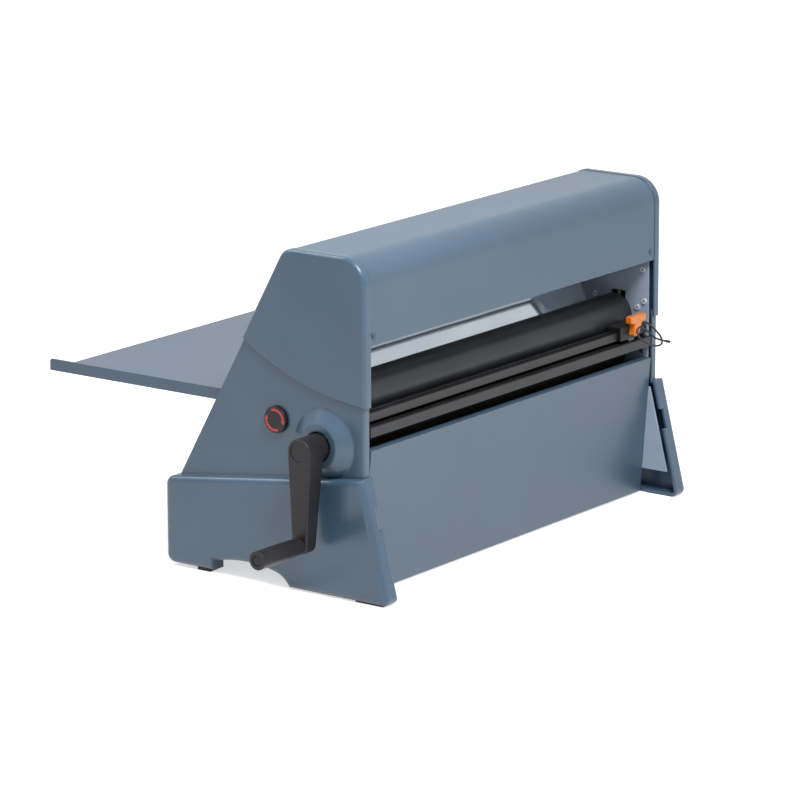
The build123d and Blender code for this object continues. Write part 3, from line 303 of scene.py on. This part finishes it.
# polyurethane spring: nearly black, waxy and smooth
polyurethane = surface({
    "name": "polyurethane", "dark": "#1E1B1A", "light": "#2A2624", "cloudMm": 8, "grainMm": 1.2,
    "depthMm": 0.03, "rough": 0.35, "edgeMm": 0.3, "coat": 0.2,
})
# black nylon: a fine matt texture with a slight sheen on the rounded edges
blackNylon = surface({
    "name": "blackNylon", "dark": "#131315", "light": "#1B1B1D", "cloudMm": 20, "grainMm": 0.5,
    "depthMm": 0.05, "rough": 0.42, "edgeMm": 0.4, "wear": "#333436", "shine": 0.3,
})
# glass-filled nylon of the crank: warm charcoal, spark-eroded texture
crankNylon = surface({
    "name": "crankNylon", "dark": "#181719", "light": "#232225", "cloudMm": 40, "grainMm": 0.6,
    "depthMm": 0.06, "relief": 0.35, "rough": 0.46, "edgeMm": 0.6, "wear": "#4A474A",
    "shine": 0.3,
})
# glossy orange ABS of the cutter handle: bright, with shallow sink marks
orangeAbs = surface({
    "name": "orangeAbs", "dark": "#C8640A", "light": "#DA7A10", "cloudMm": 14, "grainMm": 4.0,
    "depthMm": 0.08, "relief": 0.3, "rough": 0.3, "edgeMm": 0.5, "coat": 0.3, "coatRough": 0.12,
    "wear": "#F5A558",
})
# red pad print on the knob: opaque and slightly glossy
redPrint = surface({
    "name": "redPrint", "dark": "#B02A30", "light": "#C4373A", "cloudMm": 6, "grainMm": 0.8,
    "depthMm": 0.02, "rough": 0.4, "edgeMm": 0.1,
})
# zinc-plated steel of the fasteners: bright, with soft milky patches
zincPlate = surface({
    "name": "zincPlate", "dark": "#A9ADB0", "light": "#C9CCCE", "cloudMm": 5, "grainMm": 0.5,
    "depthMm": 0.02, "rough": 0.3, "edgeMm": 0.15, "metal": 1.0,
})
# black oxide on the crank's screw and the grip's pin: brown-black and oily; its dark tone also
# serves as the painted shade of the screws' cross recesses
blackOxide = surface({
    "name": "blackOxide", "dark": "#232224", "light": "#302E30", "cloudMm": 5, "grainMm": 0.4,
    "depthMm": 0.02, "rough": 0.34, "edgeMm": 0.15, "metal": 0.8,
})
# nickel-plated heads inside the window: pale and slightly milky; their near-white tone is partly
# painted glint, so they read as bright dots in the shade
nickelWithPaintedGlint = surface({
    "name": "nickelWithPaintedGlint", "dark": "#D2D6DC", "light": "#E8EBEE", "cloudMm": 4, "grainMm": 0.4,
    "depthMm": 0.02, "rough": 0.4, "edgeMm": 0.15, "metal": 0.35,
})
# turned steel of shafts and mandrels: fine tool rings round the axis
turnedSteel = surface({
    "name": "turnedSteel", "dark": "#8F9396", "light": "#B4B8BA", "cloudMm": 30, "grainMm": 0.4,
    "depthMm": 0.03, "rough": 0.28, "edgeMm": 0.3, "metal": 1.0, "stretch": (1, 0.02, 0.02),
    "brushed": 0.4,
})
# hobbed steel of the gears: darker, oiled and rougher in the teeth
hobbedSteel = surface({
    "name": "hobbedSteel", "dark": "#5E6164", "light": "#808487", "cloudMm": 7, "grainMm": 0.5,
    "depthMm": 0.04, "rough": 0.38, "edgeMm": 0.15, "metal": 1.0,
})
# oil-filled sintered bronze: brown-gold and finely porous
sinteredBronze = surface({
    "name": "sinteredBronze", "dark": "#8A6234", "light": "#A87B45", "cloudMm": 6, "grainMm": 0.4,
    "depthMm": 0.05, "rough": 0.45, "edgeMm": 0.2, "metal": 1.0,
})
# black anodised extrusion: draw lines run along its length
blackAnodised = surface({
    "name": "blackAnodised", "dark": "#1D1E20", "light": "#2A2B2D", "cloudMm": 50, "grainMm": 0.6,
    "depthMm": 0.03, "rough": 0.4, "edgeMm": 0.3, "stretch": (0.01, 1, 1), "metal": 0.4,
    "wear": "#55575A",
})
# ground blade steel: grey, with grinding lines across
bladeSteel = surface({
    "name": "bladeSteel", "dark": "#4E5256", "light": "#6A6E72", "cloudMm": 6, "grainMm": 0.3,
    "depthMm": 0.02, "rough": 0.35, "edgeMm": 0.1, "metal": 1.0, "stretch": (1, 1, 0.05),
})
# spiral-wound cardboard: brown paper with faint fibre streaks
cardboard = surface({
    "name": "cardboard", "dark": "#8C6B47", "light": "#A98862", "cloudMm": 10, "grainMm": 0.8,
    "depthMm": 0.08, "relief": 0.5, "rough": 0.85, "edgeMm": 0.2, "stretch": (0.3, 1, 1),
})
# pressed wool felt: grey, fuzzy and matt
woolFelt = surface({
    "name": "woolFelt", "dark": "#3C3D3F", "light": "#55565A", "cloudMm": 3, "grainMm": 0.5,
    "depthMm": 0.2, "relief": 0.8, "rough": 0.95, "edgeMm": 0.2,
})
# braided sleeve of the cord: black, its weave drawn a little coarse so that it shows
braidedCord = surface({
    "name": "braidedCord", "dark": "#17181A", "light": "#232426", "cloudMm": 3, "grainMm": 0.7,
    "depthMm": 0.1, "relief": 0.7, "rough": 0.6, "edgeMm": 0.1,
})

# polyester film on its release liner: very glossy, with slow ripples from its tension; its
# silvery, pale blue-white tone is painted reflection
webReflectionLook = {
    "dark": "#C6DAEC", "light": "#DDEBF6", "rippleMm": 40, "stretch": (0.3, 1, 1),
    "relief": 0.15, "depthMm": 0.6, "rough": 0.05, "ior": 2.2, "clear": 0.12, "metal": 0.4,
    "coat": 1.0, "coatIor": 2.0, "coatRough": 0.05,
}

webFilmPaintedReflection = newMaterial("webFilmPaintedReflection")
where = addNode(webFilmPaintedReflection, "ShaderNodeTexCoord")
pulled = addNode(webFilmPaintedReflection, "ShaderNodeMapping", {
    "Vector": (where, "Object"),
    "Scale": webReflectionLook["stretch"],
})
ripple = addNode(webFilmPaintedReflection, "ShaderNodeTexNoise", {
    "Vector": (pulled, "Vector"),
    "Scale": perMm(webReflectionLook["rippleMm"]),
    "Detail": 2.0,
})
tone = addNode(webFilmPaintedReflection, "ShaderNodeMapRange", {"Value": (ripple, "Fac"), **drift})
tint = addNode(webFilmPaintedReflection, "ShaderNodeMix", {
    "Factor": (tone, "Result"),
    "A": toLinear(webReflectionLook["dark"]),
    "B": toLinear(webReflectionLook["light"]),
}, data_type="RGBA")
relief = addNode(webFilmPaintedReflection, "ShaderNodeBump", {
    "Strength": webReflectionLook["relief"],
    "Distance": webReflectionLook["depthMm"] / 1000,
    "Height": (ripple, "Fac"),
})
gloss = addNode(webFilmPaintedReflection, "ShaderNodeBsdfPrincipled", {
    "Base Color": (tint, "Result"),
    "Roughness": webReflectionLook["rough"],
    "IOR": webReflectionLook["ior"],
    "Transmission Weight": webReflectionLook["clear"],
    "Metallic": webReflectionLook["metal"],
    "Coat Weight": webReflectionLook["coat"],
    "Coat IOR": webReflectionLook["coatIor"],
    "Coat Roughness": webReflectionLook["coatRough"],
    "Normal": (relief, "Normal"),
})
addNode(webFilmPaintedReflection, "ShaderNodeOutputMaterial", {"Surface": (gloss, "BSDF")})

# many turns of film: milky glass from outside, and fine rings of wound edges on the ends
rollLook = {
    "dark": "#B9C2C6", "light": "#DCE2E4", "ringMm": 0.6, "relief": 0.5, "depthMm": 0.1,
    "rough": 0.18, "ior": 1.5, "clear": 0.15, "coat": 0.5, "coatRough": 0.06,
}


def woundFilm(name, roll):
    low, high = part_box(roll)
    m = newMaterial(name)
    where = addNode(m, "ShaderNodeTexCoord")
    moved = addNode(m, "ShaderNodeVectorMath", {0: (where, "Object"), 1: (low + high) / 2},
                    operation="SUBTRACT")
    across = addNode(m, "ShaderNodeVectorMath", {0: (moved, "Vector"), 1: (0, 1, 1)},
                     operation="MULTIPLY")
    radius = addNode(m, "ShaderNodeVectorMath", {0: (across, "Vector")}, operation="LENGTH")
    rings = addNode(m, "ShaderNodeTexNoise", {
        "W": (radius, "Value"),
        "Scale": perMm(rollLook["ringMm"]),
        "Detail": 3.0,
    }, noise_dimensions="1D")
    tone = addNode(m, "ShaderNodeMapRange", {"Value": (rings, "Fac"), **drift})
    tint = addNode(m, "ShaderNodeMix", {
        "Factor": (tone, "Result"),
        "A": toLinear(rollLook["dark"]),
        "B": toLinear(rollLook["light"]),
    }, data_type="RGBA")
    relief = addNode(m, "ShaderNodeBump", {
        "Strength": rollLook["relief"],
        "Distance": rollLook["depthMm"] / 1000,
        "Height": (rings, "Fac"),
    })
    shader = addNode(m, "ShaderNodeBsdfPrincipled", {
        "Base Color": (tint, "Result"),
        "Roughness": rollLook["rough"],
        "IOR": rollLook["ior"],
        "Transmission Weight": rollLook["clear"],
        "Coat Weight": rollLook["coat"],
        "Coat Roughness": rollLook["coatRough"],
        "Normal": (relief, "Normal"),
    })
    addNode(m, "ShaderNodeOutputMaterial", {"Surface": (shader, "BSDF")})
    return m


dress(mouldedAbs, "left_housing", "right_housing", "left_lid_cheek", "right_lid_cheek")
dress(powderCoat, "front_panel", "rear_panel", "mouth_guard", "base_pan", "feed_table",
      "feed_tray")
dress(plateCoatWithPaintedLight, "left_side_plate", "right_side_plate")
dress(satinPaint, "top_cover", "cover_screws")
dress(groundRubber, "upper_roller_rubber", "lower_roller_rubber")
dress(footRubber, "rubber_feet")
dress(polyurethane, "pressure_springs")
dress(blackNylon, "cutter_carriage", "bearing_blocks", "latch_knob")
dress(crankNylon, "crank_arm", "crank_cap", "crank_grip")
dress(orangeAbs, "cutter_handle")
dress(zincPlate, "tie_nuts", "tray_studs", "plate_nuts", "housing_screws", "panel_screws",
      "rail_screws", "latch_stud", "latch_hook")
dress(nickelWithPaintedGlint, "plate_screws")
dress(blackOxide, "crank_screw", "grip_spindle")
dress(turnedSteel, "tie_bars", "lid_hinge_pins", "lower_roller_core", "upper_roller_core",
      "upper_mandrel", "lower_mandrel", "latch_spindle")
dress(hobbedSteel, "drive_gear", "driven_gear")
dress(sinteredBronze, "lower_roller_bushes", "mandrel_bushes", "latch_bush")
dress(blackAnodised, "cutter_rail", "exit_bar")
dress(bladeSteel, "cutter_blade")
dress(webFilmPaintedReflection, "upper_film_web", "lower_film_web")
dress(woundFilm("upperRollFilm", "upper_film_roll"), "upper_film_roll")
dress(woundFilm("lowerRollFilm", "lower_film_roll"), "lower_film_roll")
dress(cardboard, "upper_core", "lower_core")
dress(woolFelt, "brake_washers")
print("dressed the nodes")

# cord of the cutter: thin, limp, in a few loose loops beside the handle; sizes in mm
cutterCord = {
    "radius": 1.5,
    "length": 185,
    "route": [
        (309.3, 57, 260), (319.5, 57, 260), (325.5, 47.5, 262.5), (324.5, 38.7, 259.5),
        (329.4, 30, 249.9), (332.3, 23.3, 240.2), (326.5, 18.9, 232), (313.9, 23.3, 231.5),
        (301.4, 29.1, 237.3), (290.3, 33.9, 245.5), (288.8, 38.7, 256.1), (298, 41.1, 261.9),
        (310.1, 37.8, 256.1), (319.7, 33.4, 246.5), (326.5, 29.1, 238.8), (343.5, 20, 233.6),
    ],
    "tip": [(1.62, -5.0), (2.0, -4.4), (2.1, -1.5), (2.1, 2.4), (1.7, 3.5), (0.9, 4.0)],
    "tipSides": 24,
}

cordPoints = [at(*point) for point in cutterCord["route"]]
cordCurve = bpy.data.curves.new("cutterCord", "CURVE")
cordCurve.dimensions = "3D"
cordCurve.bevel_depth = cutterCord["radius"] / 1000
cordCurve.bevel_resolution = 5
cordCurve.resolution_u = 16
cordCurve.use_fill_caps = True
spline = cordCurve.splines.new("NURBS")
spline.points.add(len(cordPoints) - 1)
for point, place in zip(spline.points, cordPoints):
    point.co = (*place, 1)
spline.order_u = 3
spline.use_endpoint_u = True
cordCurve.materials.append(braidedCord)
cord = bpy.data.objects.new("cutterCord", cordCurve)
scene.collection.objects.link(cord)
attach(cord, "cutter")
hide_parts("cutter_cord")

# moulded tip that keeps the cord's end from fraying
tipBm = bmesh.new()
tipTurn = (cordPoints[-1] - cordPoints[-2]).normalized().to_track_quat("Z", "Y").to_matrix()
tipPlace = Matrix.Translation(cordPoints[-1]) @ tipTurn.to_4x4()
tipRings = turned(tipBm, cutterCord["tip"], cutterCord["tipSides"], tipPlace)
tipBm.faces.new(tipRings[-1])
tipBm.faces.new(list(reversed(tipRings[0])))
cordTip = newPiece("cordTip", tipBm, blackNylon, "cutter")
print("cord laid")

# red turning arrows on the latch knob, in mm and degrees
knobArrows = {
    "arcs": [(112, -22), (-68, -202)],
    "radius": 14.2,
    "width": 3.4,
    "steps": 28,
    "headWidth": 6.6,
    "headTurn": 20,
    "headSteps": 6,
    "point": 0.1,
    "sunk": 0.12,
    "proud": 0.25,
}


def arrowRows(start, end):
    # the arrow's half width at each angle along it
    neck = end + knobArrows["headTurn"]
    steps, headSteps = knobArrows["steps"], knobArrows["headSteps"]
    rows = []
    for i in range(steps + 1):
        rows.append((start + (neck - start) * i / steps, knobArrows["width"] / 2))
    for i in range(headSteps + 1):
        half = knobArrows["headWidth"] / 2 * (1 - i / headSteps) + knobArrows["point"] / 2
        rows.append((neck + (end - neck) * i / headSteps, half))
    return rows


def arrowArc(name, start, end):
    # a flat arc with a short pointed head, standing a hair proud of the knob's face
    bm = bmesh.new()
    low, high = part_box("latch_knob")
    middle = (low + high) / 2
    rows = arrowRows(start, end)
    levels = []
    for depth in (knobArrows["sunk"], -knobArrows["proud"]):
        line = []
        for angle, half in rows:
            away = Vector((0, -math.cos(math.radians(angle)), math.sin(math.radians(angle))))
            pair = []
            for radius in (knobArrows["radius"] - half, knobArrows["radius"] + half):
                spot = middle + away * radius / 1000
                pair.append(bm.verts.new((low.x + depth / 1000, spot.y, spot.z)))
            line.append(pair)
        levels.append(line)
    under, top = levels
    for i in range(len(rows) - 1):
        bm.faces.new((top[i][0], top[i + 1][0], top[i + 1][1], top[i][1]))
        bm.faces.new((under[i][1], under[i + 1][1], under[i + 1][0], under[i][0]))
        for side in (0, 1):
            bm.faces.new((under[i][side], under[i + 1][side], top[i + 1][side], top[i][side]))
    for i in (0, len(rows) - 1):
        bm.faces.new((under[i][0], under[i][1], top[i][1], top[i][0]))
    bmesh.ops.recalc_face_normals(bm, faces=bm.faces)
    newPiece(name, bm, redPrint, "latch", smooth=False)


for i, (start, end) in enumerate(knobArrows["arcs"]):
    arrowArc("knobArrow" + str(i + 1), start, end)
print("knob marked")

# pressure springs: sleeves with a fixed top end, built at their full height, in mm
nipSprings = {
    "radius": 4.0,
    "bore": 2.0,
    "height": 20.0,
    "chamfer": 0.4,
    "lift": 2.0,
    "sides": 40,
}

springLow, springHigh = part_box("pressure_springs")
springWall = nipSprings["radius"] - nipSprings["chamfer"]
springProfile = [
    (nipSprings["bore"], 0),
    (springWall, 0),
    (nipSprings["radius"], nipSprings["chamfer"]),
    (nipSprings["radius"], nipSprings["height"] - nipSprings["chamfer"]),
    (springWall, nipSprings["height"]),
    (nipSprings["bore"], nipSprings["height"]),
]
springBm = bmesh.new()
inset = nipSprings["radius"] / 1000
for springX in (springLow.x + inset, springHigh.x - inset):
    foot = Vector((springX, (springLow.y + springHigh.y) / 2, springLow.z))
    turned(springBm, springProfile, nipSprings["sides"], Matrix.Translation(foot), closed=True)
bmesh.ops.recalc_face_normals(springBm, faces=springBm.faces)
springs = newPiece("nipSprings", springBm, polyurethane, "root")
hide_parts("pressure_springs")
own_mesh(springs)
print("springs set")

# dark crosses on the screw heads that show, painted shade standing in for their cross recesses,
# in mm and degrees
recessShadeMarks = {
    "arm": 1.7,
    "half": 0.45,
    "proud": 0.05,
    "sunk": 0.4,
    "firstTurn": 17,
    "nextTurn": 53,
    "plateHeadX": 338.8,
    "plateHeads": [(72, 279), (60, 289), (63, 336), (146, 290)],
    "coverHead": (336, 44.2, 365),
}


def paintRecessShade(name, spots, facing, body):
    # one plus-shaped dark mark of painted shade on each head, where its recess would be, each
    # turned as its screw happened to stop
    bm = bmesh.new()
    a, h = recessShadeMarks["arm"], recessShadeMarks["half"]
    plus = [(h, h), (a, h), (a, -h), (h, -h), (h, -a), (-h, -a),
            (-h, -h), (-a, -h), (-a, h), (-h, h), (-h, a), (h, a)]
    for i, (x, y, z) in enumerate(spots):
        angle = math.radians(recessShadeMarks["firstTurn"] + recessShadeMarks["nextTurn"] * i)
        levels = []
        for depth in (recessShadeMarks["proud"], -recessShadeMarks["sunk"]):
            ring = []
            for u, v in plus:
                across = u * math.cos(angle) - v * math.sin(angle)
                up = u * math.sin(angle) + v * math.cos(angle)
                if facing == "middle":
                    inward = -math.copysign(1, x)
                    ring.append(bm.verts.new(at(x + inward * depth, y + across, z + up)))
                else:
                    ring.append(bm.verts.new(at(x + across, y - depth, z + up)))
            levels.append(ring)
        top, under = levels
        for j in range(len(plus)):
            k = (j + 1) % len(plus)
            bm.faces.new((top[j], top[k], under[k], under[j]))
        bm.faces.new(top)
        bm.faces.new(list(reversed(under)))
    bmesh.ops.recalc_face_normals(bm, faces=bm.faces)
    newPiece(name, bm, blackOxide, body, smooth=False)


coverX, coverY, coverZ = recessShadeMarks["coverHead"]
plateSpots = [(side * recessShadeMarks["plateHeadX"], y, z)
              for side in (-1, 1) for y, z in recessShadeMarks["plateHeads"]]
paintRecessShade("plateScrewRecessShade", plateSpots, "middle", "root")
paintRecessShade("coverScrewRecessShade", [(side * coverX, coverY, coverZ) for side in (-1, 1)], "front",
          "lid")
print("screw heads marked")

# floor, world and lamps: soft light from the front and above, and a weaker one behind
stage = {
    "size": 40,
    "board": ("#C4C4C4", "#CACACA"),
    "boardMm": 300,
    "plain": (0.9, 0.9, 0.9, 1),
    "glow": 0.6,
    "fill": 0.42,
    "aim": (0, 0, 0.2),
    "lamps": [
        ("key", (-0.7, -1.9, 3.1), 1.4, 90),
        ("near", (-0.7, -1.2, 1.8), 0.6, 19),
        ("back", (-0.7, 2.0, 2.9), 1.5, 45),
    ],
}


def seenDirectly(owner):
    # 1 where the camera, a gloss or a clear piece looks, and 0 for the light that pieces get
    ray = addNode(owner, "ShaderNodeLightPath")
    seen = ray, "Is Camera Ray"
    for other in ("Is Glossy Ray", "Is Transmission Ray"):
        seen = addNode(owner, "ShaderNodeMath", {0: seen, 1: (ray, other)},
                       operation="MAXIMUM"), "Value"
    return seen


# white board: plain white to look at, faintly clouded grey for the light that it throws back
board = newMaterial("whiteBoard")
where = addNode(board, "ShaderNodeTexCoord")
cloud = addNode(board, "ShaderNodeTexNoise", {
    "Vector": (where, "Object"),
    "Scale": perMm(stage["boardMm"]),
    "Detail": 2.0,
})
tone = addNode(board, "ShaderNodeMapRange", {"Value": (cloud, "Fac"), **drift})
tint = addNode(board, "ShaderNodeMix", {
    "Factor": (tone, "Result"),
    "A": toLinear(stage["board"][0]),
    "B": toLinear(stage["board"][1]),
}, data_type="RGBA")
matt = addNode(board, "ShaderNodeBsdfDiffuse", {"Color": (tint, "Result")})
plain = addNode(board, "ShaderNodeBsdfDiffuse", {"Color": stage["plain"]})
glow = addNode(board, "ShaderNodeEmission", {"Strength": stage["glow"]})
white = addNode(board, "ShaderNodeAddShader", {0: (plain, "BSDF"), 1: (glow, "Emission")})
shown = addNode(board, "ShaderNodeMixShader", {
    "Fac": seenDirectly(board),
    1: (matt, "BSDF"),
    2: (white, "Shader"),
})
addNode(board, "ShaderNodeOutputMaterial", {"Surface": (shown, "Shader")})

floorBm = bmesh.new()
bmesh.ops.create_grid(floorBm, x_segments=1, y_segments=1, size=stage["size"] / 2)
floorMesh = bpy.data.meshes.new("floor")
floorBm.to_mesh(floorMesh)
floorBm.free()
floorMesh.materials.append(board)
floor = bpy.data.objects.new("floor", floorMesh)
scene.collection.objects.link(floor)

world = bpy.data.worlds.new("room")
world.use_nodes = True
world.node_tree.nodes.clear()
scene.world = world
level = addNode(world, "ShaderNodeMapRange", {
    "Value": seenDirectly(world),
    "To Min": stage["fill"],
    "To Max": 1.0,
})
sky = addNode(world, "ShaderNodeBackground", {
    "Color": (1, 1, 1, 1),
    "Strength": (level, "Result"),
})
addNode(world, "ShaderNodeOutputWorld", {"Surface": (sky, "Background")})

for name, place, size, power in stage["lamps"]:
    lampData = bpy.data.lights.new(name, "AREA")
    lampData.size = size
    lampData.energy = power
    lamp = bpy.data.objects.new(name, lampData)
    scene.collection.objects.link(lamp)
    lamp.location = place
    aim = Vector(stage["aim"]) - Vector(place)
    lamp.rotation_euler = aim.to_track_quat("-Z", "Y").to_euler()
print("stage lit")

bpy.context.view_layer.update()
